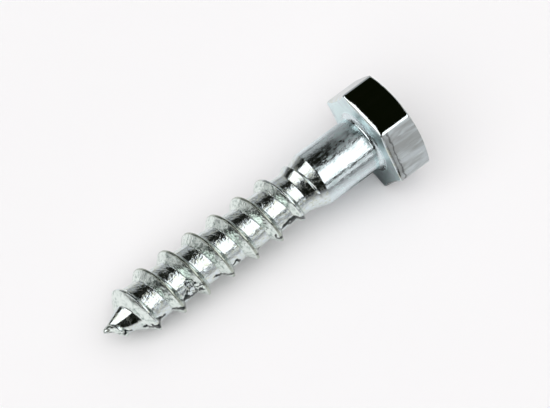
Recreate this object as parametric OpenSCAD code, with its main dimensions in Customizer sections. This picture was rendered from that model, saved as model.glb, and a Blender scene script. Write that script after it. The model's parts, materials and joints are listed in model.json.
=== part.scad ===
// Hex head lag screw (coach screw): a hexagon head, a plain shank and a coarse wood thread with a cone point.
// It is one forged and rolled piece, so it is one solid. It lies on a flat surface as it comes to rest,
// on the edge of one head flat and the first full crest of the thread. The surface is at z = 0, and the
// screw runs along X with its head towards +X. Its own shape is drawn upright, along Z, with the bearing
// face of the head at height 0 and the point below, and is then laid down.

/* [Head] */
// Width across the flats of the hexagon
across_flats = 16; // [13:0.5:20]
// Height of the head, from its bearing face to its crown
head_h = 6.05; // [5:0.05:8]
// Distance from the flats to the rim of the round crown
crown_inset = 0.4; // [0.2:0.1:1.5]
// Slope of the chamfer round the crown, in degrees
chamfer_slope = 20; // [12:1:35]
// Radius of the fillet between the head and the shank
fillet_r = 1; // [0.4:0.1:1.6]

/* [Shank] */
// Length from the bearing face of the head to the point
under_head_len = 50.4; // [38:0.1:90]
// How far the surface of the plain shank lies below the crests of the thread
shank_drop = 0.25; // [0:0.05:0.6]
// Length of the plain shank under the head
shank_len = 10.2; // [4:0.1:16]
// Length of the taper from the shank down to the neck
neck_len = 1.9; // [1:0.1:3]
// How far the neck, where the thread runs out, lies below the surface of the shank
neck_drop = 0.45; // [0.1:0.05:0.7]

/* [Thread] */
// Diameter over the crests of the thread, which the shank and the core follow
crest_d = 9.7; // [8:0.05:12]
// Depth of the thread, from its crests to the core between them
thread_depth = 1.275; // [0.9:0.025:1.8]
// Distance from one thread to the next
pitch = 4.7; // [3.5:0.1:6]
// Length along the screw of the flank that faces the point
front_flank = 1.18; // [0.6:0.01:1.8]
// Length along the screw of the flank that faces the head
back_flank = 0.71; // [0.4:0.01:1.4]
// Length over which the crest falls to the neck at the end of the thread
crest_runout = 4.8; // [1:0.1:8]
// Length over which the groove rises to the neck at the end of the thread
groove_runout = 2.2; // [1:0.1:4]

/* [Point] */
// Full angle of the cone point, in degrees
point_angle = 45; // [35:1:60]
// Length from the tip over which the thread rises to its full height
thread_start_len = 7.6; // [6:0.1:10]
// Diameter of the blunt end of the point
tip_d = 0.45; // [0.3:0.05:1]

/* [Hidden] */

// Flat sides round one turn of the thread. The rows of the thread's surface stand one side's share of the
// pitch apart, so each crest and flank runs along a diagonal of the grid. It is a multiple of four, so a
// corner of the crest is always at the bottom of the screw.
SIDES = 20;
SIDE_ANGLE = 360 / SIDES;
row_h = pitch / SIDES;

// Where the crest crosses the grid, in rows above the tip on the underside of the screw. The half row
// puts the two edges of the crest on grid corners, so the crest is one row wide.
CREST_ROW = 14.5;

// How far the core of the thread runs up inside the neck, and how far its surface lies below the neck's
CORE_OVERLAP = 1;
NECK_STEP = 0.1;

flat_r = across_flats / 2;
hexagon_r = flat_r / cos(30);
crown_r = flat_r - crown_inset;
crest_r = crest_d / 2;
shank_r = crest_r - shank_drop;
neck_r = shank_r - neck_drop;
root_r = crest_r - thread_depth;
tip_r = tip_d / 2;
point_slope = tan(point_angle / 2);

// Heights along the screw: the end of the neck, and the last row of the thread's surface below it
neck_z = -(shank_len + neck_len);
last_row = floor((neck_z + under_head_len) / row_h);
runout_r = neck_r - NECK_STEP;
runout_z = row_z(last_row);

function row_z(row) = row * row_h - under_head_len;
function limit(x) = min(1, max(0, x));
function mix(a, b, t) = a + (b - a) * t;

// Radius of the crest at height z. It rises along a quarter of a sine wave from the tip, and runs out into
// the neck.
function crest_r_at(z) =
    mix(mix(tip_r, crest_r, sin(90 * limit((z + under_head_len) / thread_start_len))), runout_r,
        limit((z - runout_z + crest_runout) / crest_runout));

// Radius of the core at height z. It rises on the cone of the point, and runs out into the neck.
function core_r_at(z) =
    mix(min(root_r, tip_r + point_slope * (z + under_head_len)), runout_r,
        limit((z - runout_z + groove_runout) / groove_runout));

// Height of the ridge's section from 0 to 1, at a distance along the screw from the middle of the crest
function ridge(offset) =
    offset < 0
        ? limit(1 - (-offset - row_h / 2) / front_flank)
        : limit(1 - (offset - row_h / 2) / back_flank);

// Distance along the screw from the nearest crest to a grid point. It is positive on the head's side of
// the crest.
function crest_offset(row, side) =
    let (above = (row - side - CREST_ROW) / SIDES)
    let (part = above - floor(above))
    pitch * (part < 0.5 ? part : part - 1);

// Radius of the threaded surface at a grid point
function thread_r(row, side) =
    let (z = row_z(row))
    let (r = mix(core_r_at(z), crest_r_at(z), ridge(crest_offset(row, side))))
    max(core_r_at(z), r);

function ring(row) =
    [for (side = [0 : SIDES - 1])
        let (r = thread_r(row, side))
        [r * cos(side * SIDE_ANGLE), r * sin(side * SIDE_ANGLE), row_z(row)]];

function ring_at(r, z) =
    [for (side = [0 : SIDES - 1]) [r * cos(side * SIDE_ANGLE), r * sin(side * SIDE_ANGLE), z]];

// Tilt of the screw at rest. It turns about the lower edge of the bearing face until a crest touches the
// surface, so it is the smallest angle that any crest corner on the underside gives.
tilt = min([
    for (row = [0 : last_row])
        atan2(flat_r - thread_r(row, 0), -row_z(row))
]);

// The origin is at the middle of the screw's length and width, on the surface
rest_x = (under_head_len * cos(tilt) + tip_r * sin(tilt) - head_h * cos(tilt) - crown_r * sin(tilt)) / 2;
rest_z = flat_r * cos(tilt);

// Hexagon with a round chamfered crown
module head() {
    intersection() {
        rotate([0, 0, 30])
            cylinder(r = hexagon_r, h = head_h, $fn = 6);
        rotate_extrude($fn = 96)
            polygon([
                [0, 0],
                [hexagon_r + 1, 0],
                [hexagon_r + 1, head_h - (hexagon_r + 1 - crown_r) * tan(chamfer_slope)],
                [crown_r, head_h],
                [0, head_h]
            ]);
    }
}

// Plain shank, with the taper at its lower end and the fillet at its upper end. It runs a little way up
// inside the head.
module shank() {
    translate([0, 0, -shank_len])
        cylinder(r = shank_r, h = shank_len + head_h / 2, $fn = 96);
    translate([0, 0, neck_z])
        cylinder(r1 = neck_r, r2 = shank_r, h = neck_len, $fn = 96);
    rotate_extrude($fn = 96)
        difference() {
            translate([shank_r - fillet_r / 2, -fillet_r])
                square([fillet_r * 1.5, fillet_r + head_h / 2]);
            translate([shank_r + fillet_r, -fillet_r])
                circle(r = fillet_r, $fn = 96);
        }
}

// Core, thread and point as one closed surface of rings, from the blunt tip up into the neck
module thread() {
    rings = concat(
        [for (row = [0 : last_row]) ring(row)],
        [ring_at(runout_r, neck_z + CORE_OVERLAP)]
    );
    ring_count = len(rings);
    corners = [for (r = rings) for (p = r) p];
    tip = len(corners);
    top = tip + 1;
    sides = [
        for (row = [0 : ring_count - 2]) for (side = [0 : SIDES - 1])
            let (next = (side + 1) % SIDES)
            let (a = row * SIDES + side)
            let (b = row * SIDES + next)
            let (c = b + SIDES)
            let (d = a + SIDES)
            each [[a, d, c], [a, c, b]]
    ];
    lower_end = [
        for (side = [0 : SIDES - 1])
            [tip, side, (side + 1) % SIDES]
    ];
    upper_end = [
        for (side = [0 : SIDES - 1])
            [top, (ring_count - 1) * SIDES + (side + 1) % SIDES, (ring_count - 1) * SIDES + side]
    ];
    polyhedron(
        points = concat(corners, [[0, 0, -under_head_len], [0, 0, neck_z + CORE_OVERLAP]]),
        faces = concat(sides, lower_end, upper_end)
    );
}

module lag_screw() {
    color("silver")
        translate([rest_x, 0, rest_z])
            rotate([0, 90 - tilt, 0]) {
                head();
                shank();
                thread();
            }
}

lag_screw();
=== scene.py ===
"""A hex head lag screw in bright zinc plate, lying on a pale studio floor.

The screw is one piece. A plain outline is spun round the screw's axis, and its rings are then shaped
into the hexagon, the rolled thread, the neck and the point. Lengths are in metres. On the screw itself,
a station is a distance along the axis: 0 at the bearing face of the head, negative towards the point.
A turn angle is 0 on the row's +Y side and 90 degrees on top.
"""

import json
import math

import bmesh
import bpy
from mathutils import Matrix, Vector, noise


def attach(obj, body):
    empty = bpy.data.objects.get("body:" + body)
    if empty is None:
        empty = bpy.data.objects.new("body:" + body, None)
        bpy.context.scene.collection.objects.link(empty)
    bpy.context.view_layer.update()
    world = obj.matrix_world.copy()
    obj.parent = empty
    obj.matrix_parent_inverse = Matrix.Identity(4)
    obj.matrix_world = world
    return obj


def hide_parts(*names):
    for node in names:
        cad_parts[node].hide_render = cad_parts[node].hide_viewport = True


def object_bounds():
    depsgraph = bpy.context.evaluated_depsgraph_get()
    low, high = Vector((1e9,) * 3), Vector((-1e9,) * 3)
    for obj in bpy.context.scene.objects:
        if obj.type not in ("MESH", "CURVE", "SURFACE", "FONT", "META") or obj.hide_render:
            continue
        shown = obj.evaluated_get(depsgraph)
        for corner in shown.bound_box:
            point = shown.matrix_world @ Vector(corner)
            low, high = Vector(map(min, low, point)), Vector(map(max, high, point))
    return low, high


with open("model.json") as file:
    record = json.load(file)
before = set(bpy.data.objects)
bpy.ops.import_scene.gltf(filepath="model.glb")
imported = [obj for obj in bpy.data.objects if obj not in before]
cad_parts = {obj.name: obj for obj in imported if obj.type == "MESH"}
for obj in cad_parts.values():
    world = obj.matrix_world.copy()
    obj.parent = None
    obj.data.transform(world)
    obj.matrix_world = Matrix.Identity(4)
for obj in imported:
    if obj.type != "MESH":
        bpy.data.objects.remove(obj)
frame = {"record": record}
CAD_LOW, CAD_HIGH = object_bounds()

bl_info = {
    "name": "Hex Head Lag Screw",
    "version": (1, 0, 0),
    "blender": (4, 5, 0),
    "location": "3D View > Sidebar > Lag Screw",
    "description": "Builds a zinc plated lag screw on a studio floor",
    "category": "Add Mesh",
}

MM = 0.001
# Lengths closer than this are the same
SAME = 1e-6
NODE = "lag_screw"
BODY = "root"

# ---------------------------------------------------------------- the frame's own sizes

MOUNTS = {mount["name"]: mount for mount in frame["record"]["mounts"]}
BEARING_CENTRE = Vector(MOUNTS["under_head_face"]["pos_m"])
AXIS = -Vector(MOUNTS["under_head_face"]["axis"]).normalized()
ACROSS = Vector((0, 1, 0))
SHANK_RADIUS = MOUNTS["shank"]["dims"]["r_mm"] * MM
HEAD_HEIGHT = (Vector(MOUNTS["hex_drive"]["pos_m"]) - BEARING_CENTRE).length
HEXAGON_RADIUS = (CAD_HIGH.y - CAD_LOW.y) / 2
FLAT_RADIUS = HEXAGON_RADIUS * math.cos(math.radians(30))
SCREW_LENGTH = (BEARING_CENTRE.x - CAD_LOW.x) / AXIS.x

# Columns up the screw's own directions: across, up and along
SCREW_TO_ROW = Matrix.Translation(BEARING_CENTRE) @ Matrix(
    (ACROSS, AXIS.cross(ACROSS), AXIS)
).transposed().to_4x4()


# ---------------------------------------------------------------- properties


def length_property(name, description, default):
    return bpy.props.FloatProperty(name=name, description=description, default=default, unit="LENGTH")


def angle_property(name, description, degrees):
    return bpy.props.FloatProperty(
        name=name, description=description, default=math.radians(degrees), unit="ROTATION"
    )


def colour_property(name, description, default):
    return bpy.props.FloatVectorProperty(
        name=name, description=description, default=default, subtype="COLOR", size=3, min=0, max=1
    )


class HeadProperties(bpy.types.PropertyGroup):
    edge_depth: length_property(
        "Bearing edge depth",
        "How far the rounding of the bearing edge reaches up each flat",
        1.4 * MM,
    )
    edge_width: length_property(
        "Bearing edge width",
        "How far the rounding of the bearing edge reaches in over the bearing face",
        0.5 * MM,
    )
    corner_sharpness: bpy.props.FloatProperty(
        name="Bearing corner sharpness",
        description="Share of the bearing edge's rounding that is left at the six corners",
        default=0.38,
        min=0.1,
        max=1,
        subtype="FACTOR",
    )
    corner_round: length_property(
        "Corner rounding",
        "Radius along the six corners of the hexagon",
        0.75 * MM,
    )
    crown_inset: length_property(
        "Inset of the crown",
        "Distance from the flats to the rim of the round crown",
        0.4 * MM,
    )
    crown_chips: length_property(
        "Chips at the crown",
        "How unevenly the rim of the crown is trimmed",
        0.1 * MM,
    )
    chamfer_slope: angle_property("Chamfer slope", "Slope of the chamfer round the crown", 20)
    fillet_width: length_property(
        "Fillet width",
        "How far the fillet under the head reaches out over the bearing face",
        0.8 * MM,
    )


class ThreadProperties(bpy.types.PropertyGroup):
    pitch: length_property("Pitch", "Distance from one thread to the next", 4.7 * MM)
    crest_radius: length_property("Crest radius", "Radius over the crests of the thread", 4.85 * MM)
    root_radius: length_property("Root radius", "Radius of the core between the threads", 3.575 * MM)
    front_flank: length_property(
        "Front flank",
        "Length along the screw of the flank that faces the point",
        1.15 * MM,
    )
    back_flank: length_property(
        "Back flank",
        "Length along the screw of the flank that faces the head",
        0.65 * MM,
    )
    crest_land: length_property("Crest land", "Half the width of the thread's blunt crest", 0.12 * MM)
    root_slope: angle_property(
        "Root slope",
        "Slope of each root, which is wider on its side towards the point",
        3.8,
    )
    shank_length: length_property("Shank", "Length of the plain shank under the head", 10.2 * MM)
    taper_length: length_property(
        "Taper",
        "Shortest length of the taper from the shank down to the neck",
        1.3 * MM,
    )
    taper_slope: angle_property("Taper slope", "Slope of the taper from the shank down to the neck", 21)
    root_waves: length_property("Root waves", "How far the rolled roots wander in and out", 0.012 * MM)


class FinishProperties(bpy.types.PropertyGroup):
    zinc: colour_property("Zinc", "Colour of the bright zinc plate", (0.7, 0.77, 0.8))
    zinc_green: colour_property(
        "Zinc, greenish",
        "Colour of the plate where its clear film is thicker",
        (0.66, 0.7, 0.61),
    )
    bearing: colour_property(
        "Bearing face",
        "Colour of the dull face under the head, and of dull patches on the shank",
        (0.8, 0.95, 0.96),
    )
    worn: colour_property("Scored flats", "Colour of the head's scored flats", (0.9, 0.97, 1.0))
    worn_dark: colour_property(
        "Scored flats, dark",
        "Colour of the darker patches and ends of the head's scored flats",
        (0.6, 0.63, 0.63),
    )
    flank: colour_property("Flanks", "Colour of the thread's flanks", (0.81, 0.88, 0.84))
    stain: colour_property(
        "Stain",
        "Colour of the dull patches on the thread's flanks",
        (0.28, 0.36, 0.33),
    )
    # Near-black colour of the real cracks and chipped line, also used to paint dashes of reflected shadow
    # along the thread
    crack_and_shadow_dash: colour_property(
        "Cracks and painted shadow dashes",
        "Colour inside the cracks and the chipped line, and of the painted dashes of reflected shadow",
        (0.015, 0.02, 0.02),
    )
    crest: colour_property(
        "Worn crest",
        "Colour of the rolled crest of the thread, where the plate is thin",
        (0.44, 0.48, 0.42),
    )
    floor: colour_property("Floor", "Colour of the floor", (0.93, 0.915, 0.925))


class StudioProperties(bpy.types.PropertyGroup):
    view_azimuth: angle_property(
        "View azimuth",
        "Direction that the camera stands in, round the screw",
        -37.88,
    )
    view_elevation: angle_property("View elevation", "Height of the camera above the horizon", 58.56)
    view_roll: angle_property("View roll", "Turn of the camera round its own line of sight", -0.84)
    view_distance: length_property(
        "View distance",
        "Distance from the camera to the point it looks at",
        783.06 * MM,
    )
    aim_right: length_property(
        "Aim right",
        "How far right of the bearing face the camera looks",
        -13.605 * MM,
    )
    aim_up: length_property("Aim up", "How far above the bearing face the camera looks", -9.546 * MM)
    lens: bpy.props.FloatProperty(
        name="Lens",
        description="Focal length in millimetres for a sensor 36 mm wide",
        default=334.8,
    )


GROUPS = {
    "lag_head": HeadProperties,
    "lag_thread": ThreadProperties,
    "lag_finish": FinishProperties,
    "lag_studio": StudioProperties,
}


# ---------------------------------------------------------------- shaping helpers


def clamp(x):
    return min(1.0, max(0.0, x))


def mix(a, b, t):
    return a + (b - a) * t


def ease(x):
    """A smooth step from 0 to 1."""
    x = clamp(x)
    return x * x * (3 - 2 * x)


def ramp(x, points):
    """Value at x along straight lines between (x, value) points."""
    if x <= points[0][0]:
        return points[0][1]
    for (x0, v0), (x1, v1) in zip(points, points[1:]):
        if x <= x1:
            return mix(v0, v1, (x - x0) / (x1 - x0))
    return points[-1][1]


def soft_max(a, b, width):
    """The larger of two values, rounded where they are closer than a width."""
    if abs(a - b) >= width:
        return max(a, b)
    return (a + b) / 2 + (a - b) ** 2 / (4 * width) + width / 4


def lathe(bm, outline, columns):
    """Spins an outline of (radius, station) points once round the screw's axis."""
    verts = [bm.verts.new((r, 0, z)) for r, z in outline]
    edges = [bm.edges.new(pair) for pair in zip(verts, verts[1:])]
    bmesh.ops.spin(
        bm,
        geom=verts + edges,
        cent=(0, 0, 0),
        axis=(0, 0, 1),
        dvec=(0, 0, 0),
        angle=math.tau,
        steps=columns,
        use_merge=True,
        use_duplicate=False,
    )


# ---------------------------------------------------------------- the thread, neck and point

COLUMNS = 96
SHANK_RINGS = 60
FILLET_RINGS = 12
# Rings past the point's end: radius, and how far they are past it
TIP_RINGS = [(0.0, 0.2 * MM), (0.1 * MM, 0.14 * MM)]

# Where the first crest stands at turn angle 0, as a share of the pitch from the point's end
CREST_PHASE = 94 / 96
CREST_ROUND = 0.05 * MM
# Share of a crest's height in which its foot rounds into the core
TOE = 0.07
# A low crest keeps at least this share of the full flanks' length
SHORTEST_FLANK = 0.2

# The rolling dies leave a broken crease at the foot of the front flanks, on the lower side, where the
# crest has this share of its full height or more
CREASED_CREST = 0.9
CREASE_SIDE = math.radians(165)
CREASE_ANGLE = math.radians(42)
CREASE_WIDTH = 0.14 * MM
CREASE_DEPTH = 0.1 * MM

# Heights above the point's end and the crest's radius there, then the height where it is full, all in
# millimetres
CREST_RISE = [
    (0.0, 0.2),
    (1.4, 1.2),
    (2.55, 2.45),
    (3.5, 3.25),
    (4.9, 4.25),
    (5.6, 4.42),
    (7.2, 4.75),
]
FULL_CREST = 9.4
# Stations towards the neck, in millimetres, and the share of the radius that the crest keeps there
CREST_FALL = [(-17.4, 1.0), (-15.0, 0.887), (-12.65, 0.876)]

# The core's radius in the same way, on its upper side, and on its lower side before the first crest.
# It is a plain cylinder above the last height.
CORE_UPPER = [(0.0, 0.25), (0.9, 0.65), (1.9, 1.1), (3.4, 1.85), (4.1, 2.2), (4.9, 2.65)]
CORE_LOWER = [(0.0, 0.2), (2.4, 1.7), (3.1, 2.2), (4.7, 2.8), (6.0, 3.7), (7.4, 4.65)]
FULL_CORE = 6.2
PLAIN_CORE = 8
LOWER_SIDE = math.radians(205)
LOWER_ANGLE = math.radians(100)
# The dies pinch one side of the point flat between two heights in millimetres
PINCH_SIDE = math.radians(138)
PINCH_ANGLE = math.radians(19)
PINCH_START = 1.2
PINCH_END = 6.2
PINCH_FADE = 0.5

# The last turn lags behind the helix and dies out against the taper. These are its lags at stations, in
# millimetres, and its radii in millimetres at turn angles in degrees.
LAST_TURN = 7
LAST_TURN_LAG = [(-14.0, 0.0), (-12.65, 0.2), (-11.4, 0.68), (-10.9, 0.76)]
LAST_TURN_RADIUS = [(-60, 4.2), (53, 4.24), (115, 4.22), (151, 4.19), (200, 4.1)]
LAST_TURN_BACK = 0.35 * MM
NECK_CREASE = -14.3 * MM
NECK_DIP = 0.16 * MM
# How far the neck reaches down past its crease, and the thread's crests up past it
NECK_OVERLAP = 0.2 * MM
CREST_OVERLAP = 0.6 * MM
# The two ends of the neck's last turn blend between these turn angles, in degrees
NECK_JOIN = (240, 300)

# The fillet under the head begins at a slight edge and ends almost flat, in angles from the axis
FILLET_START = math.radians(24)
FILLET_END = math.radians(84)
FILLET_STEP = 0.02 * MM
# The shank has a small share of the roots' waves
SHANK_WAVES = 0.4


class Rolled:
    """Radius of the rolled part of the screw at any station and turn angle."""

    def __init__(self, p):
        self.p = p
        self.crest_rise = [*CREST_RISE, (FULL_CREST, p.crest_radius / MM)]
        self.core_upper = [*CORE_UPPER, (FULL_CORE, p.root_radius / MM)]

    def crest_station(self, k, angle):
        """Station of crest number k at a turn angle. The crests count up from the point."""
        return -SCREW_LENGTH + self.p.pitch * (CREST_PHASE + k + angle / math.tau)

    def crest_radius(self, station):
        rise = ramp((station + SCREW_LENGTH) / MM, self.crest_rise)
        return rise * ramp(station / MM, CREST_FALL) * MM

    def core_radius(self, station, angle):
        up = (station + SCREW_LENGTH) / MM
        upper = ramp(up, self.core_upper)
        if up > PLAIN_CORE:
            return upper * MM
        off = abs(math.remainder(angle - PINCH_SIDE, math.tau))
        if off < PINCH_ANGLE and up < PINCH_END:
            flat = upper * math.cos(PINCH_ANGLE) / math.cos(off)
            upper = mix(upper, flat, ease(up - PINCH_START) * ease((PINCH_END - up) / PINCH_FADE))
        if station > self.crest_station(0, angle):
            return upper * MM
        off = abs(math.remainder(angle - LOWER_SIDE, math.tau))
        share = ease(1 - off / LOWER_ANGLE)
        return mix(upper, max(upper, ramp(up, CORE_LOWER)), share) * MM

    def taper(self, station):
        return SHANK_RADIUS - (-self.p.shank_length - station) * math.tan(self.p.taper_slope)

    def neck_side(self, station, degrees):
        """The taper, the last turn and the cone below it, at a turn angle from -60 to 300 degrees."""
        p = self.p
        nominal = self.crest_station(LAST_TURN, math.radians(degrees))
        lag = ramp(nominal / MM, LAST_TURN_LAG) * MM
        ridge = min(nominal - lag, -p.shank_length - p.taper_length)
        foot = ridge + LAST_TURN_BACK
        top = max(ramp(degrees, LAST_TURN_RADIUS) * MM, self.taper(ridge))
        if station >= foot:
            return self.taper(station)
        if station >= ridge:
            return mix(self.taper(foot), top, ((foot - station) / LAST_TURN_BACK) ** 1.5)
        if ridge < NECK_CREASE:
            return 0
        climb = clamp((station - NECK_CREASE) / (ridge - NECK_CREASE))
        return mix(p.root_radius - NECK_DIP, top, climb)

    def neck_surface(self, station, angle):
        """The neck all the way round."""
        join, end = NECK_JOIN
        degrees = math.degrees(angle) % 360
        if degrees > end:
            degrees -= 360
        if degrees <= join:
            return self.neck_side(station, degrees)
        share = ease((degrees - join) / (end - join))
        return mix(self.neck_side(station, degrees), self.neck_side(station, degrees - 360), share)

    def waves(self, station, angle, core):
        """Slow waves of the rolled surface, in and out."""
        place = Vector((core * math.cos(angle), core * math.sin(angle), station * 0.6)) / MM
        return (noise.noise(place * 0.9) + 0.5 * noise.noise(place * 2.1)) * self.p.root_waves

    def crease(self, station, angle, behind):
        """Depth of the broken crease at a distance behind the foot of a front flank."""
        off = abs(math.remainder(angle - CREASE_SIDE, math.tau)) / CREASE_ANGLE
        if off > 1 or behind > CREASE_WIDTH:
            return 0
        place = Vector((math.cos(angle) * 3, math.sin(angle) * 3, station / MM))
        broken = clamp(0.5 + 1.6 * noise.noise(place * 0.8))
        return CREASE_DEPTH * ease(1 - off) * broken * ease(1 - behind / CREASE_WIDTH)

    def radius(self, station, angle):
        p = self.p
        core = self.core_radius(station, angle)
        base = core + self.waves(station, angle, core)
        turn = (station + SCREW_LENGTH) / p.pitch - CREST_PHASE - angle / math.tau
        if core > p.root_radius - SAME:
            base += (0.5 - (turn - math.floor(turn))) * p.pitch * math.tan(p.root_slope)
        r = base
        for k in (round(turn) - 1, round(turn), round(turn) + 1):
            offset = (turn - k) * p.pitch
            at = self.crest_station(k, angle)
            height = self.crest_radius(at) - core
            if height <= 0 or at > NECK_CREASE + CREST_OVERLAP:
                continue
            full = min(1, height / (p.crest_radius - p.root_radius))
            flank = (p.front_flank if offset < 0 else p.back_flank) * max(full, SHORTEST_FLANK)
            beyond = max(0, abs(offset) - p.crest_land)
            fall = (math.hypot(beyond, CREST_ROUND) - CREST_ROUND) / flank
            ridge = core + height * (1 - fall)
            r = soft_max(r, ridge, TOE * height)
            if offset < 0 and full > CREASED_CREST:
                r -= self.crease(station, angle, abs(ridge - base))
        if station > NECK_CREASE - NECK_OVERLAP:
            r = max(r, self.neck_surface(station, angle))
        return r


def body_outline(h, p):
    """Rings from the point to the bearing face."""
    row = p.pitch / COLUMNS
    rows = int((SCREW_LENGTH - p.shank_length) / row)
    outline = [(r, -SCREW_LENGTH - past) for r, past in TIP_RINGS]
    outline += [(SHANK_RADIUS, i * row - SCREW_LENGTH) for i in range(rows + 1)]
    top = outline[-1][1]
    radius = h.fillet_width / (math.cos(FILLET_START) - math.cos(FILLET_END))
    low = -radius * math.sin(FILLET_END) - FILLET_STEP
    foot = low + radius * math.sin(FILLET_START)
    outline += [(SHANK_RADIUS, mix(top, foot, (i + 1) / SHANK_RINGS)) for i in range(SHANK_RINGS)]
    for i in range(1, FILLET_RINGS + 1):
        turn = mix(FILLET_START, FILLET_END, i / FILLET_RINGS)
        out = SHANK_RADIUS + radius * (math.cos(FILLET_START) - math.cos(turn))
        outline.append((out, low + radius * math.sin(turn)))
    outline.append((SHANK_RADIUS + h.fillet_width, 0))
    return outline


def shape_body(bm, p):
    """Moves each ring of the spun body in or out, and leaves the fillet and the very tip."""
    rolled = Rolled(p)
    for v in bm.verts:
        x, y, z = v.co
        r = math.hypot(x, y)
        if r > SHANK_RADIUS + SAME or z < -SCREW_LENGTH - SAME:
            continue
        angle = math.atan2(y, x) % math.tau
        if z > -p.shank_length:
            new = r + rolled.waves(z, angle, r) * SHANK_WAVES
        else:
            new = rolled.radius(z, angle)
        v.co = Vector((x, y, 0)) * (new / r) + Vector((0, 0, z))


# ---------------------------------------------------------------- the head

HEAD_COLUMNS = 240
EDGE_RINGS = 10
# Degrees from a corner to each column, up to the middle of a flat
CORNER_OFFSETS = (
    *(0, 0.3, 0.6, 0.9, 1.2, 1.55, 1.9, 2.6, 3.6, 5, 6.5),
    *(8, 9.8, 11.6, 13.6, 16, 18.6, 21.4, 24.3, 27.2, 30),
)
# The bearing edge is less rounded within this many degrees of a corner
CORNER_FADE = 14
CHIP_FREQUENCY = 14
# One corner is more worn than the others
WORN_CORNER = math.pi
WORN_ANGLE = math.radians(12)
WORN_TIMES = 2.2


def hexagon_radius(angle, apothem, rounding):
    """Distance from the axis to a hexagon with rounded corners, at a turn angle."""
    turn = math.degrees(angle) % 60
    off_corner = math.radians(min(turn, 60 - turn))
    rounding = max(rounding, 0)
    centre = (apothem - rounding) / math.cos(math.radians(30))
    tangent = math.atan2(rounding * 0.5, centre + rounding * math.cos(math.radians(30)))
    if off_corner >= tangent:
        return apothem / math.cos(math.radians(30) - off_corner)
    return centre * math.cos(off_corner) + math.sqrt(rounding**2 - (centre * math.sin(off_corner)) ** 2)


def corner_rounding(angle, rounding):
    """The radius of the corners at a turn angle."""
    off = abs(math.remainder(angle - WORN_CORNER, math.tau))
    return rounding * mix(WORN_TIMES, 1, ease(off / WORN_ANGLE - 1))


def crowd_to_corners(angle):
    """Moves evenly spaced columns so that they stand close together at the corners."""
    step = math.degrees(angle) / (360 / HEAD_COLUMNS)
    index = int(round(step)) % HEAD_COLUMNS
    half = len(CORNER_OFFSETS) - 1
    sector, place = divmod(index, 2 * half)
    offset = CORNER_OFFSETS[place] if place <= half else 60 - CORNER_OFFSETS[2 * half - place]
    return math.radians(sector * 60 + offset)


def head_outline(h, start):
    """Rings from the bearing face, up the flats and over the crown. Each radius is that of the flats."""
    inner = FLAT_RADIUS - h.edge_width
    crown = FLAT_RADIUS - h.crown_inset
    rim = HEAD_HEIGHT - h.crown_inset * math.tan(h.chamfer_slope)
    outline = [(mix(start, inner, t), 0) for t in (0, 0.25, 0.5, 0.75, 0.96, 1)]
    for i in range(1, EDGE_RINGS + 1):
        turn = math.radians(90 * i / EDGE_RINGS)
        outline.append((inner + h.edge_width * math.sin(turn), h.edge_depth * (1 - math.cos(turn))))
    outline += [(FLAT_RADIUS, mix(h.edge_depth, rim, t)) for t in (0.02, 0.2, 0.4, 0.6, 0.8, 0.96)]
    chamfer = (0, 0.12, 0.4, 0.7, 0.9, 1)
    outline += [(mix(FLAT_RADIUS, crown, t), mix(rim, HEAD_HEIGHT, t)) for t in chamfer]
    outline += [(crown * t, HEAD_HEIGHT) for t in (0.98, 0.75, 0.5, 0.25, 0)]
    return outline


def shape_head(bm, h, start):
    """Moves the spun head's rings out to the hexagon, with its bearing edge, its corners and its rim."""
    inner = FLAT_RADIUS - h.edge_width
    crown = FLAT_RADIUS - h.crown_inset
    slope = math.tan(h.chamfer_slope)
    rim = HEAD_HEIGHT - h.crown_inset * slope
    for v in bm.verts:
        x, y, z = v.co
        r = math.hypot(x, y)
        if r < SAME:
            continue
        even = math.atan2(y, x) % math.tau
        angle = crowd_to_corners(even)
        from_corner = min(math.degrees(angle) % 60, 60 - math.degrees(angle) % 60)
        share = mix(h.corner_sharpness, 1, ease(from_corner / CORNER_FADE))
        rounding = corner_rounding(angle, h.corner_round)
        full = hexagon_radius(angle, FLAT_RADIUS, rounding)
        outward = Vector((math.cos(angle), math.sin(angle), 0))
        chips = noise.noise(outward * CHIP_FREQUENCY) * h.crown_chips
        rim_here = HEAD_HEIGHT - (full - crown + chips) * slope
        if z < SAME and r < inner - SAME:
            # The bearing face
            part = (r - start) / (inner - start)
            target = hexagon_radius(angle, FLAT_RADIUS - h.edge_width * share, rounding)
            new_r, new_z = mix(start, target, part), 0.0
            angle = even + (((angle - even + math.pi) % math.tau) - math.pi) * part
        elif z <= h.edge_depth + SAME:
            # Its rounded edge
            inward = (FLAT_RADIUS - r) * share
            new_r = hexagon_radius(angle, FLAT_RADIUS - inward, rounding - inward)
            new_z = z * share
        elif r > FLAT_RADIUS - SAME:
            # The flats
            new_r = full
            new_z = mix(h.edge_depth * share, rim_here, (z - h.edge_depth) / (rim - h.edge_depth))
        elif r > crown + SAME:
            # The chamfer
            t = (FLAT_RADIUS - r) / h.crown_inset
            new_r = mix(full, crown - chips, t)
            new_z = HEAD_HEIGHT - (new_r - crown + chips) * slope
        elif r > crown - SAME:
            # The rim of the flat top
            new_r, new_z = r - chips, z
        else:
            new_r, new_z = r, z
        v.co = Vector((new_r * math.cos(angle), new_r * math.sin(angle), new_z))


# ---------------------------------------------------------------- the whole screw

HEAD_FINISH, SHANK_FINISH, ROLLED_FINISH, BEARING_FINISH, SCORED_FINISH = range(5)
# The middle of the three scored flats, and how far from it their directions lie
SCORED_SIDE = math.radians(210)
SCORED_ANGLE = math.radians(75)
# Flat part of the bearing face between the fillet and the head's own rings
BRIDGE_WIDTH = 0.2 * MM
MERGE_DISTANCE = 1e-7


def head_finish(normal):
    """The bearing face is dull, and three neighbouring flats are scored lengthwise."""
    side = math.remainder(math.atan2(normal.y, normal.x) - SCORED_SIDE, math.tau)
    if normal.z < -0.99:
        return BEARING_FINISH
    if abs(normal.z) < 0.3 and abs(side) < SCORED_ANGLE:
        return SCORED_FINISH
    return HEAD_FINISH


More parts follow.
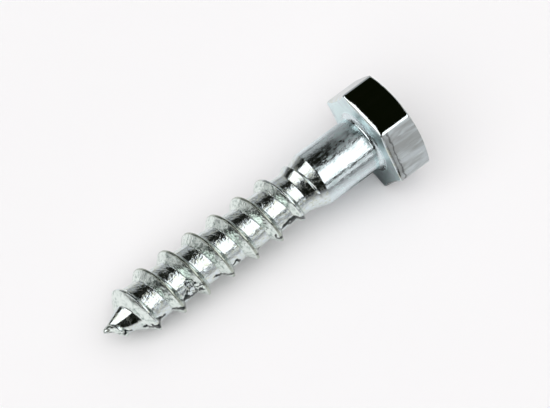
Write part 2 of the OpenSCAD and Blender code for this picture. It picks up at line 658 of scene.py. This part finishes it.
def spun(outline, columns):
    bm = bmesh.new()
    lathe(bm, outline, columns)
    bmesh.ops.remove_doubles(bm, verts=bm.verts, dist=MERGE_DISTANCE)
    return bm


def build_screw(scene):
    """One closed surface: the body and the head, joined by a ring on the bearing face."""
    h, p = scene.lag_head, scene.lag_thread
    start = SHANK_RADIUS + h.fillet_width + BRIDGE_WIDTH
    bm = spun(body_outline(h, p), COLUMNS)
    shape_body(bm, p)
    head = spun(head_outline(h, start), HEAD_COLUMNS)
    shape_head(head, h, start)
    mesh = bpy.data.meshes.new("head")
    head.to_mesh(mesh)
    head.free()
    bm.from_mesh(mesh)
    bpy.data.meshes.remove(mesh)
    bmesh.ops.bridge_loops(bm, edges=[e for e in bm.edges if e.is_boundary])
    bmesh.ops.recalc_face_normals(bm, faces=bm.faces)
    for face in bm.faces:
        face.smooth = True
        station = face.calc_center_median().z
        if station > -SAME:
            face.material_index = head_finish(face.normal)
        else:
            face.material_index = SHANK_FINISH if station > -p.shank_length else ROLLED_FINISH
    bmesh.ops.transform(bm, matrix=SCREW_TO_ROW, verts=bm.verts)
    bmesh.ops.recalc_face_normals(bm, faces=bm.faces)
    if not all(e.is_manifold for e in bm.edges):
        raise RuntimeError("the screw's surface isn't closed")
    mesh = bpy.data.meshes.new("zinc_plated_screw")
    bm.to_mesh(mesh)
    bm.free()
    piece = bpy.data.objects.new("zinc_plated_screw", mesh)
    scene.collection.objects.link(piece)
    return piece


# ---------------------------------------------------------------- materials


def opaque(colour):
    return (*colour, 1)


def new_group(name, inputs, outputs):
    """A shader node group with (name, socket type, default) inputs and (name, socket type) outputs."""
    tree = bpy.data.node_groups.new(name, "ShaderNodeTree")
    for label, kind, default in inputs:
        socket = tree.interface.new_socket(name=label, in_out="INPUT", socket_type="NodeSocket" + kind)
        if default is not None:
            socket.default_value = default
    for label, kind in outputs:
        tree.interface.new_socket(name=label, in_out="OUTPUT", socket_type="NodeSocket" + kind)
    return tree, tree.nodes.new("NodeGroupInput"), tree.nodes.new("NodeGroupOutput")


def new_material(name):
    material = bpy.data.materials.new(name)
    material.use_nodes = True
    tree = material.node_tree
    return material, tree, tree.nodes["Principled BSDF"]


def add_node(tree, kind, inputs, **settings):
    """A node with its settings. Each of its inputs is given a value, or the output that feeds it."""
    node = tree.nodes.new("ShaderNode" + kind)
    for name, value in settings.items():
        setattr(node, name, value)
    for socket, value in inputs.items():
        if isinstance(value, bpy.types.NodeSocket):
            tree.links.new(value, node.inputs[socket])
        else:
            node.inputs[socket].default_value = value
    return node


def maths(tree, operation, *terms, **settings):
    """The result of an operation on numbers and outputs."""
    return add_node(tree, "Math", dict(enumerate(terms)), operation=operation, **settings).outputs[0]


def vector_maths(tree, operation, *terms):
    """The result of an operation on vectors: a number for a length, a distance or a dot product."""
    node = add_node(tree, "VectorMath", dict(enumerate(terms)), operation=operation)
    return node.outputs["Vector" if operation == "MULTIPLY" else "Value"]


def rescale(tree, source, low, high, start=0.0, end=1.0, smooth=False):
    """Start where the source is low, end where it is high, and in between a straight or a smooth rise."""
    inputs = {"Value": source, "From Min": low, "From Max": high, "To Min": start, "To Max": end}
    rise = "SMOOTHSTEP" if smooth else "LINEAR"
    return add_node(tree, "MapRange", inputs, interpolation_type=rise).outputs["Result"]


def noise_field(tree, place, scale, detail, **more):
    inputs = {"Vector": place, "Scale": scale, "Detail": detail, **more}
    return add_node(tree, "TexNoise", inputs).outputs["Fac"]


def mix_values(tree, share, first, second):
    return add_node(tree, "Mix", {"Factor": share, "A": first, "B": second}).outputs["Result"]


def mix_colours(tree, share, first, second):
    inputs = {"Factor": share, "A": first, "B": second}
    return add_node(tree, "Mix", inputs, data_type="RGBA").outputs["Result"]


def stretched_place(tree, source):
    """A group's place on the screw, squeezed along the axis so that its patterns come out stretched."""
    squeeze = maths(tree, "DIVIDE", 1.0, source.outputs["Stretch"])
    factors = add_node(tree, "CombineXYZ", {"X": 1.0, "Y": 1.0, "Z": squeeze})
    return vector_maths(tree, "MULTIPLY", source.outputs["Vector"], factors.outputs[0])


# The patches begin where a noise is above this level less their cover, and are full one edge higher
BARE_LEVEL = 0.62
PATCH_EDGE = 0.34


def mottle_group():
    """Soft patches stretched along the screw, as a mask from 0 to 1."""
    tree, source, sink = new_group(
        "plate_mottle",
        [
            ("Vector", "Vector", None),
            ("Patch Scale", "Float", 900),
            ("Stretch", "Float", 3),
            ("Cover", "Float", 0.5),
        ],
        [("Mask", "Float")],
    )
    place = stretched_place(tree, source)
    cloud = noise_field(tree, place, source.outputs["Patch Scale"], 3.0, Roughness=0.6, Distortion=0.4)
    low = maths(tree, "SUBTRACT", BARE_LEVEL, source.outputs["Cover"])
    high = maths(tree, "ADD", low, PATCH_EDGE)
    tree.links.new(rescale(tree, cloud, low, high, smooth=True), sink.inputs["Mask"])
    return tree


def relief_group():
    """Dents and fine grain of the plate, in hundredths of a millimetre."""
    tree, source, sink = new_group(
        "plate_relief",
        [
            ("Vector", "Vector", None),
            ("Dent Scale", "Float", 1200),
            ("Dent Depth", "Float", 1.0),
            ("Grain Scale", "Float", 4000),
            ("Grain Depth", "Float", 0.5),
            ("Stretch", "Float", 2),
        ],
        [("Height", "Float")],
    )
    place = stretched_place(tree, source)
    parts = []
    for effect, detail in (("Dent", 1.0), ("Grain", 2.0)):
        field = noise_field(tree, place, source.outputs[effect + " Scale"], detail, Roughness=0.5)
        parts.append(maths(tree, "MULTIPLY", field, source.outputs[effect + " Depth"]))
    tree.links.new(maths(tree, "ADD", *parts), sink.inputs["Height"])
    return tree


# Share of the surface's direction that points along the axis, where a root ends and where a flank is full
FLANK_COSINES = (0.42, 0.62)
CREST_WEAR = 0.16 * MM
# A painted reflection of the floor's shadow wanders along one side of the thread as a broken line of dark
# dashes. Its widths are turn angles.
SHADOW_DASH_SIDE = math.radians(179)
SHADOW_DASH_WANDER = 0.5
WANDER_SCALE = 650.0
SHADOW_DASH_HALF_WIDTH = (0.09, 0.13)
SHADOW_DASH_BREAKS = (0.45, 0.5)
BREAK_SCALE = 380.0
SHADOW_DASH_START = (-14.5 * MM, -15.5 * MM)
# Cracks round a bruise near the point
BRUISE = Vector((-3.3, 1.35, -35.9)) * MM
BRUISE_REACH = (2.5 * MM, 1.7 * MM)
CRACK_HALF_WIDTH = (0.014, 0.04)
CRACK_SCALE = 760.0


def shadow_dash_mask(tree, place):
    """The painted reflection of the floor's shadow: 1 on its dark dashes and 0 elsewhere."""
    # Turned half round, so that the angles have no jump at the side of the painted dashes
    back = vector_maths(tree, "MULTIPLY", place, (-1, -1, 1))
    part = add_node(tree, "SeparateXYZ", {0: back})
    around = maths(tree, "ARCTAN2", part.outputs["Y"], part.outputs["X"])
    path = noise_field(tree, place, WANDER_SCALE, 2.0)
    wander = rescale(tree, path, 0.0, 1.0, -SHADOW_DASH_WANDER, SHADOW_DASH_WANDER)
    off = maths(tree, "SUBTRACT", maths(tree, "ADD", around, wander), SHADOW_DASH_SIDE - math.pi)
    line = rescale(tree, maths(tree, "ABSOLUTE", off), *SHADOW_DASH_HALF_WIDTH, 1.0, 0.0, smooth=True)
    breaks = noise_field(tree, place, BREAK_SCALE, 1.0)
    dashes = rescale(tree, breaks, *SHADOW_DASH_BREAKS, smooth=True)
    threaded = rescale(tree, part.outputs["Z"], *SHADOW_DASH_START)
    return maths(tree, "MULTIPLY", maths(tree, "MULTIPLY", line, dashes), threaded)


def crack_mask(tree, place):
    """Fine cracks round the bruise, where a noise crosses its middle value."""
    bruise = rescale(tree, vector_maths(tree, "DISTANCE", place, BRUISE), *BRUISE_REACH)
    wrinkles = noise_field(tree, place, CRACK_SCALE, 1.5, Distortion=0.8)
    level = maths(tree, "ABSOLUTE", maths(tree, "SUBTRACT", wrinkles, 0.5))
    return maths(tree, "MULTIPLY", rescale(tree, level, *CRACK_HALF_WIDTH, 1.0, 0.0), bruise)


def thread_group():
    """Masks of the thread: its flanks, its worn crest, and the painted dashes of reflected shadow with
    the real cracks.
    """
    tree, source, sink = new_group(
        "thread_masks",
        [("Vector", "Vector", None), ("Normal", "Vector", None), ("Crest Radius", "Float", 4.8 * MM)],
        [("Flank", "Float"), ("Crest", "Float"), ("Seam", "Float")],
    )
    place = source.outputs["Vector"]
    crest_radius = source.outputs["Crest Radius"]
    steep = maths(tree, "ABSOLUTE", vector_maths(tree, "DOT_PRODUCT", source.outputs["Normal"], AXIS))
    out = vector_maths(tree, "LENGTH", vector_maths(tree, "MULTIPLY", place, (1, 1, 0)))
    inner = maths(tree, "SUBTRACT", crest_radius, CREST_WEAR)
    masks = {
        "Flank": rescale(tree, steep, *FLANK_COSINES, smooth=True),
        "Crest": rescale(tree, out, inner, crest_radius, smooth=True),
        # Painted dashes of reflected shadow, together with the real cracks
        "Seam": maths(tree, "MAXIMUM", shadow_dash_mask(tree, place), crack_mask(tree, place)),
    }
    for name, mask in masks.items():
        tree.links.new(mask, sink.inputs[name])
    return tree


HUNDREDTH = 0.01 * MM
FLANK_DENTS = 7.0
STAINS = {"Patch Scale": 1500, "Stretch": 0.7, "Cover": 0.18}
DULL_SPOTS = {"Patch Scale": 1700, "Stretch": 1.6, "Cover": 0.36}
SCARS = {"Patch Scale": 420, "Stretch": 1.3, "Cover": 0.2}
# The scored flats darken towards the bearing face, and a jagged line marks where the edge has chipped
DARK_END = (1.9 * MM, 0.3 * MM)
DARK_SHARE = 0.7
CHIP_SPREAD = 1.9 * MM
CHIP_HALF_WIDTH = (0.04 * MM, 0.2 * MM)
CHIP_SHARE = 0.6
CHIP_SCALE = 620.0


class Plate:
    """A zinc plate material: two tones and two roughnesses in soft patches, over dents and grain."""

    def __init__(self, name, groups, roughness, mottle, relief, tones):
        self.material, self.tree, self.shader = new_material(name)
        self.groups = groups
        self.relief = relief
        coords = self.tree.nodes.new("ShaderNodeTexCoord")
        inputs = {
            "Vector": coords.outputs["Object"],
            "Location": BEARING_CENTRE,
            "Rotation": SCREW_TO_ROW.to_euler(),
        }
        self.normal = coords.outputs["Normal"]
        self.place = add_node(self.tree, "Mapping", inputs, vector_type="TEXTURE").outputs[0]
        self.part = add_node(self.tree, "SeparateXYZ", {0: self.place})
        self.patches = self.use("mottle", mottle).outputs["Mask"]
        inputs = {"Factor": self.patches, "A": opaque(tones[0]), "B": opaque(tones[1])}
        self.tint = add_node(self.tree, "Mix", inputs, data_type="RGBA")
        self.colour = self.tint.outputs["Result"]
        self.rough = rescale(self.tree, self.patches, 0.0, 1.0, *roughness)
        self.surface = self.use("relief", relief)

    def use(self, group, values):
        """One of the shared node groups, with this material's own values."""
        node = self.tree.nodes.new("ShaderNodeGroup")
        node.node_tree = self.groups[group]
        for socket, value in values.items():
            node.inputs[socket].default_value = value
        self.tree.links.new(self.place, node.inputs["Vector"])
        return node

    def paint(self, share, colour):
        self.colour = mix_colours(self.tree, share, self.colour, opaque(colour))

    def chip_end(self, finish):
        """The darker end of a scored flat, with its chipped line."""
        station = self.part.outputs["Z"]
        close = rescale(self.tree, station, *DARK_END, 0.0, DARK_SHARE)
        cover = maths(self.tree, "ADD", self.patches, close, use_clamp=True)
        self.tree.links.new(cover, self.tint.inputs["Factor"])
        jagged = noise_field(self.tree, self.place, CHIP_SCALE, 4.0)
        line = maths(self.tree, "MULTIPLY", jagged, CHIP_SPREAD)
        away = maths(self.tree, "ABSOLUTE", maths(self.tree, "SUBTRACT", station, line))
        self.paint(rescale(self.tree, away, *CHIP_HALF_WIDTH, CHIP_SHARE, 0.0), finish.crack_and_shadow_dash)

    def roll(self, finish, crest_radius, flank_roughness):
        """The flanks with stains and deeper dents, the worn crest, the painted dashes of reflected shadow
        and the cracks.
        """
        masks = self.use("thread", {"Crest Radius": crest_radius})
        self.tree.links.new(self.normal, masks.inputs["Normal"])
        flank = masks.outputs["Flank"]
        stains = self.use("mottle", STAINS).outputs["Mask"]
        self.paint(flank, finish.flank)
        self.paint(masks.outputs["Crest"], finish.crest)
        self.paint(maths(self.tree, "MULTIPLY", stains, flank), finish.stain)
        # Paints the dashes of reflected floor shadow, and the real cracks, in one near-black colour
        self.paint(masks.outputs["Seam"], finish.crack_and_shadow_dash)
        self.rough = mix_values(self.tree, flank, self.rough, flank_roughness)
        dents = rescale(self.tree, flank, 0.0, 1.0, self.relief["Dent Depth"], FLANK_DENTS)
        self.tree.links.new(dents, self.surface.inputs["Dent Depth"])

    def roughen(self, limits, depth, scar_depth, dullness):
        """Deeper grain, scars and dull spots. Each limit has an axis, a start and a full place on it."""
        share = 1.0
        for axis, start, full in limits:
            step = rescale(self.tree, self.part.outputs[axis], start * MM, full * MM)
            share = maths(self.tree, "MULTIPLY", step, share)
        spots = maths(self.tree, "MULTIPLY", share, self.use("mottle", DULL_SPOTS).outputs["Mask"])
        self.rough = mix_values(self.tree, spots, self.rough, dullness)
        scars = rescale(self.tree, self.use("mottle", SCARS).outputs["Mask"], 0.0, 1.0, depth, scar_depth)
        deeper = rescale(self.tree, share, 0.0, 1.0, self.relief["Grain Depth"], scars)
        self.tree.links.new(deeper, self.surface.inputs["Grain Depth"])

    def finished(self):
        """Joins everything to the shader."""
        inputs = {"Distance": HUNDREDTH, "Height": self.surface.outputs["Height"]}
        bump = add_node(self.tree, "Bump", inputs)
        self.shader.inputs["Metallic"].default_value = 1.0
        self.tree.links.new(self.colour, self.shader.inputs["Base Color"])
        self.tree.links.new(self.rough, self.shader.inputs["Roughness"])
        self.tree.links.new(bump.outputs["Normal"], self.shader.inputs["Normal"])
        return self.material


def zinc_materials(finish, crest_radius):
    """The head's, shank's, rolled part's, bearing face's and scored flats' finish, in that order."""
    groups = {"mottle": mottle_group(), "relief": relief_group(), "thread": thread_group()}
    head = Plate(
        "zinc_head",
        groups,
        (0.06, 0.1),
        {"Patch Scale": 700, "Stretch": 7, "Cover": 0.25},
        {"Dent Scale": 1500, "Dent Depth": 3.0, "Grain Scale": 3800, "Grain Depth": 1.0, "Stretch": 10},
        (finish.zinc, finish.zinc_green),
    )
    shank = Plate(
        "zinc_shank",
        groups,
        (0.14, 0.4),
        {"Patch Scale": 2200, "Stretch": 3, "Cover": 0.22},
        {"Dent Scale": 1300, "Dent Depth": 1.0, "Grain Scale": 3500, "Grain Depth": 1.9, "Stretch": 2},
        (finish.zinc, finish.bearing),
    )
    shank.roughen([("Z", -7.0, -3.5), ("Z", -1.0, -2.0), ("X", -1.1, -0.4)], 3.0, 5.0, 0.48)
    rolled = Plate(
        "zinc_rolled",
        groups,
        (0.12, 0.32),
        {"Patch Scale": 2300, "Stretch": 1.5, "Cover": 0.24},
        {"Dent Scale": 1100, "Dent Depth": 1.5, "Grain Scale": 3200, "Grain Depth": 0.7, "Stretch": 1.5},
        (finish.zinc, finish.zinc_green),
    )
    rolled.roll(finish, crest_radius, 0.16)
    rolled.roughen([("Z", -45.0, -43.5), ("Z", -13.2, -14.2)], 2.6, 12.0, 0.19)
    bearing = Plate(
        "zinc_bearing_face",
        groups,
        (0.36, 0.46),
        {"Patch Scale": 350, "Stretch": 1, "Cover": 0.2},
        {"Dent Scale": 1200, "Dent Depth": 1.5, "Grain Scale": 4500, "Grain Depth": 1.0, "Stretch": 1},
        (finish.bearing, finish.zinc),
    )
    scored = Plate(
        "zinc_scored_flat",
        groups,
        (0.46, 0.58),
        {"Patch Scale": 750, "Stretch": 6, "Cover": 0.3},
        {"Dent Scale": 2300, "Dent Depth": 9.0, "Grain Scale": 4500, "Grain Depth": 3.5, "Stretch": 12},
        (finish.worn, finish.worn_dark),
    )
    scored.chip_end(finish)
    return [plate.finished() for plate in (head, shank, rolled, bearing, scored)]


# In reflections only, the floor has a painted pool of light: bright in a long pool round the screw,
# shorter on the camera's side
POOL_RADIUS = 20 * MM
POOL_STRETCH = 1.9
POOL_MIDDLE = -15 * MM
POOL_BEHIND = 0.4
FAR_LEVEL = 0.2
# A painted shadow darkens it under the head, in reflections only
PAINTED_SHADOW_CENTRE = (BEARING_CENTRE.x - 1.0 * MM, -3.0 * MM, 0)
PAINTED_SHADOW_REACH = (1.0 * MM, 5.5 * MM)
PAINTED_SHADOW_LEVEL = 0.14


def floor_material(finish):
    """A pale floor. In reflections it is grey away from a painted pool of light, and dark with a painted
    shadow under the head.
    """
    material, tree, shader = new_material("white_floor")
    shader.inputs["Roughness"].default_value = 0.9
    shader.inputs["Specular IOR Level"].default_value = 0.0
    place = tree.nodes.new("ShaderNodeTexCoord").outputs["Object"]
    part = add_node(tree, "SeparateXYZ", {0: place})
    along = maths(tree, "DIVIDE", maths(tree, "ADD", part.outputs["X"], -POOL_MIDDLE), POOL_STRETCH)
    behind = maths(tree, "MULTIPLY", part.outputs["Y"], POOL_BEHIND)
    across = maths(tree, "MINIMUM", behind, part.outputs["Y"])
    from_pool = add_node(tree, "CombineXYZ", {"X": along, "Y": across}).outputs[0]
    reach = maths(tree, "MAXIMUM", vector_maths(tree, "LENGTH", from_pool), POOL_RADIUS)
    pool = maths(tree, "MAXIMUM", maths(tree, "DIVIDE", POOL_RADIUS, reach), FAR_LEVEL)
    under = vector_maths(tree, "DISTANCE", place, PAINTED_SHADOW_CENTRE)
    # Painted shadow under the head
    shade = rescale(tree, under, *PAINTED_SHADOW_REACH, PAINTED_SHADOW_LEVEL, smooth=True)
    dark = maths(tree, "SUBTRACT", 1.0, maths(tree, "MULTIPLY", pool, shade))
    path = tree.nodes.new("ShaderNodeLightPath")
    # Only reflections see the painted pool of light and the painted shadow
    share = maths(tree, "MULTIPLY", dark, path.outputs["Is Glossy Ray"])
    colour = mix_colours(tree, share, opaque(finish.floor), (0, 0, 0, 1))
    tree.links.new(colour, shader.inputs["Base Color"])
    return material


# ---------------------------------------------------------------- studio

# The room seen in reflections: almost black, with pale walls. Each wall has its middle in degrees to
# the right of straight ahead, the cosine from there to its sides, the sine of its top's elevation and
# its level.
DARK_ROOM = (0.003, 0.004, 0.001, 1)
WHITE_ROOM = (1, 1, 1, 1)
BACKDROP = (0.93, 0.92, 0.93, 1)
PALE_WALLS = [
    (25, 0.56, 0.52, 0.53),
    (-35, 0.9, 0.38, 0.48),
    (-96, 0.84, 0.24, 0.66),
    (122, 0.8, 0.2, 1.0),
]
WALL_SIDE_BLUR = 0.12
WALL_TOP_BLUR = 0.08

# Panels that the metal mirrors: name, centre (right, forward, height) from the screw, and size, in metres
PANELS = [
    ("right_panel", (0.83, -0.315, 0.8), (1.02, 1.64)),
    ("left_panel", (-0.85, -0.3144, 0.8), (1.0, 1.688)),
]
PANEL_POWER = 1.65
PANEL_TURN = math.radians(13.5)

# Lamps for the floor: name, level on it, and in degrees their spread, their elevation and their turn
# round the screw from the camera's azimuth
FLOOR_LAMPS = [
    ("ceiling_light", 0.48, 110, 90, 0),
    ("right_light", 0.1, 70, 55, 80),
    ("left_light", 0.38, 70, 55, -31),
]
FLOOR_SIZE = 6.0


def studio_axes(studio):
    """Right, forward and up, as seen from the camera, as columns in the row frame."""
    a = studio.view_azimuth
    right = Vector((math.cos(a), math.sin(a), 0))
    forward = Vector((-math.sin(a), math.cos(a), 0))
    return Matrix((right, forward, Vector((0, 0, 1)))).transposed()


def make_floor(scene):
    bm = bmesh.new()
    bmesh.ops.create_grid(bm, x_segments=1, y_segments=1, size=FLOOR_SIZE)
    mesh = bpy.data.meshes.new("floor")
    bm.to_mesh(mesh)
    bm.free()
    mesh.materials.append(floor_material(scene.lag_finish))
    floor = bpy.data.objects.new("floor", mesh)
    scene.collection.objects.link(floor)


def make_panel(scene, name, centre, size):
    """A soft lamp panel over the floor, which only reflections show."""
    light = bpy.data.lights.new(name, "AREA")
    light.shape = "RECTANGLE"
    light.size, light.size_y = size
    light.energy = PANEL_POWER * size[0] * size[1] * math.pi
    lamp = bpy.data.objects.new(name, light)
    lamp.location = studio_axes(scene.lag_studio) @ Vector(centre)
    lamp.rotation_euler = (0, 0, scene.lag_studio.view_azimuth + PANEL_TURN)
    lamp.visible_camera = False
    lamp.visible_diffuse = False
    scene.collection.objects.link(lamp)


def make_floor_lamp(scene, name, level, spread, elevation, turn):
    """Even soft light on the floor from one side. The metal doesn't mirror it, only the panels."""
    elevation = math.radians(elevation)
    light = bpy.data.lights.new(name, "SUN")
    light.energy = level * math.pi / math.sin(elevation)
    light.angle = math.radians(spread)
    lamp = bpy.data.objects.new(name, light)
    azimuth = scene.lag_studio.view_azimuth + math.radians(turn)
    lamp.rotation_euler = (math.pi / 2 - elevation, 0, azimuth)
    lamp.visible_glossy = False
    scene.collection.objects.link(lamp)


def pale_wall(tree, direction, height, wall):
    """How bright one wall of the room is in each direction."""
    azimuth, side, top, level = wall
    middle = math.radians(azimuth)
    facing = vector_maths(tree, "DOT_PRODUCT", direction, (math.sin(middle), math.cos(middle), 0))
    across = rescale(tree, facing, side, side + WALL_SIDE_BLUR, 0.0, level, smooth=True)
    up = rescale(tree, height, top, top + WALL_TOP_BLUR, 1.0, 0.0, smooth=True)
    return maths(tree, "MULTIPLY", across, up)


def make_world(scene):
    """The room: white to the camera, and otherwise dark with its pale walls."""
    world = bpy.data.worlds.new("studio_room")
    world.use_nodes = True
    tree = world.node_tree
    inputs = {
        "Vector": tree.nodes.new("ShaderNodeTexCoord").outputs["Generated"],
        "Rotation": (0, 0, scene.lag_studio.view_azimuth),
    }
    direction = add_node(tree, "Mapping", inputs, vector_type="TEXTURE").outputs[0]
    height = add_node(tree, "SeparateXYZ", {0: direction}).outputs["Z"]
    pale, *others = [pale_wall(tree, direction, height, wall) for wall in PALE_WALLS]
    for wall in others:
        pale = maths(tree, "MAXIMUM", wall, pale)
    room = mix_colours(tree, pale, DARK_ROOM, WHITE_ROOM)
    path = tree.nodes.new("ShaderNodeLightPath")
    seen = mix_colours(tree, path.outputs["Is Camera Ray"], room, BACKDROP)
    tree.links.new(seen, tree.nodes["Background"].inputs["Color"])
    scene.world = world


def make_camera(scene):
    s = scene.lag_studio
    a, e = s.view_azimuth, s.view_elevation
    back = Vector((math.sin(a) * math.cos(e), -math.cos(a) * math.cos(e), math.sin(e)))
    right = Vector((math.cos(a), math.sin(a), 0))
    up = back.cross(right)
    c, w = math.cos(s.view_roll), math.sin(s.view_roll)
    right, up = right * c + up * w, up * c - right * w
    aim = Vector((BEARING_CENTRE.x, 0, FLAT_RADIUS)) + right * s.aim_right + up * s.aim_up
    data = bpy.data.cameras.new("camera")
    data.lens = s.lens
    data.sensor_width = 36
    data.clip_start = 0.01
    data.clip_end = 50
    camera = bpy.data.objects.new("camera", data)
    axes = Matrix((right, up, back)).transposed().to_4x4()
    camera.matrix_world = Matrix.Translation(aim + back * s.view_distance) @ axes
    scene.collection.objects.link(camera)
    scene.camera = camera


# ---------------------------------------------------------------- operators and panel


class LAG_OT_screw(bpy.types.Operator):
    """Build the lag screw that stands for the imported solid"""

    bl_idname = "lag.build_screw"
    bl_label = "Lag Screw"

    def execute(self, context):
        scene = context.scene
        piece = build_screw(scene)
        for material in zinc_materials(scene.lag_finish, scene.lag_thread.crest_radius):
            piece.data.materials.append(material)
        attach(piece, BODY)
        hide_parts(NODE)
        return {"FINISHED"}


class LAG_OT_studio(bpy.types.Operator):
    """Set up the floor, the lamps, the room and the camera"""

    bl_idname = "lag.build_studio"
    bl_label = "Studio"

    def execute(self, context):
        scene = context.scene
        make_floor(scene)
        for panel in PANELS:
            make_panel(scene, *panel)
        for lamp in FLOOR_LAMPS:
            make_floor_lamp(scene, *lamp)
        make_world(scene)
        make_camera(scene)
        scene.view_settings.view_transform = "Standard"
        return {"FINISHED"}


class LAG_PT_panel(bpy.types.Panel):
    """The lag screw's operators and sizes"""

    bl_idname = "LAG_PT_panel"
    bl_label = "Lag Screw"
    bl_space_type = "VIEW_3D"
    bl_region_type = "UI"
    bl_category = "Lag Screw"

    def draw(self, context):
        layout = self.layout
        layout.operator(LAG_OT_screw.bl_idname)
        layout.operator(LAG_OT_studio.bl_idname)
        for name, group in GROUPS.items():
            box = layout.box()
            for prop in group.__annotations__:
                box.prop(getattr(context.scene, name), prop)


CLASSES = (*GROUPS.values(), LAG_OT_screw, LAG_OT_studio, LAG_PT_panel)


def register():
    for cls in CLASSES:
        bpy.utils.register_class(cls)
    for name, group in GROUPS.items():
        setattr(bpy.types.Scene, name, bpy.props.PointerProperty(type=group))


def unregister():
    for name in GROUPS:
        delattr(bpy.types.Scene, name)
    for cls in reversed(CLASSES):
        bpy.utils.unregister_class(cls)


def main():
    register()
    bpy.ops.lag.build_screw()
    bpy.ops.lag.build_studio()


if __name__ == "__main__":
    main()
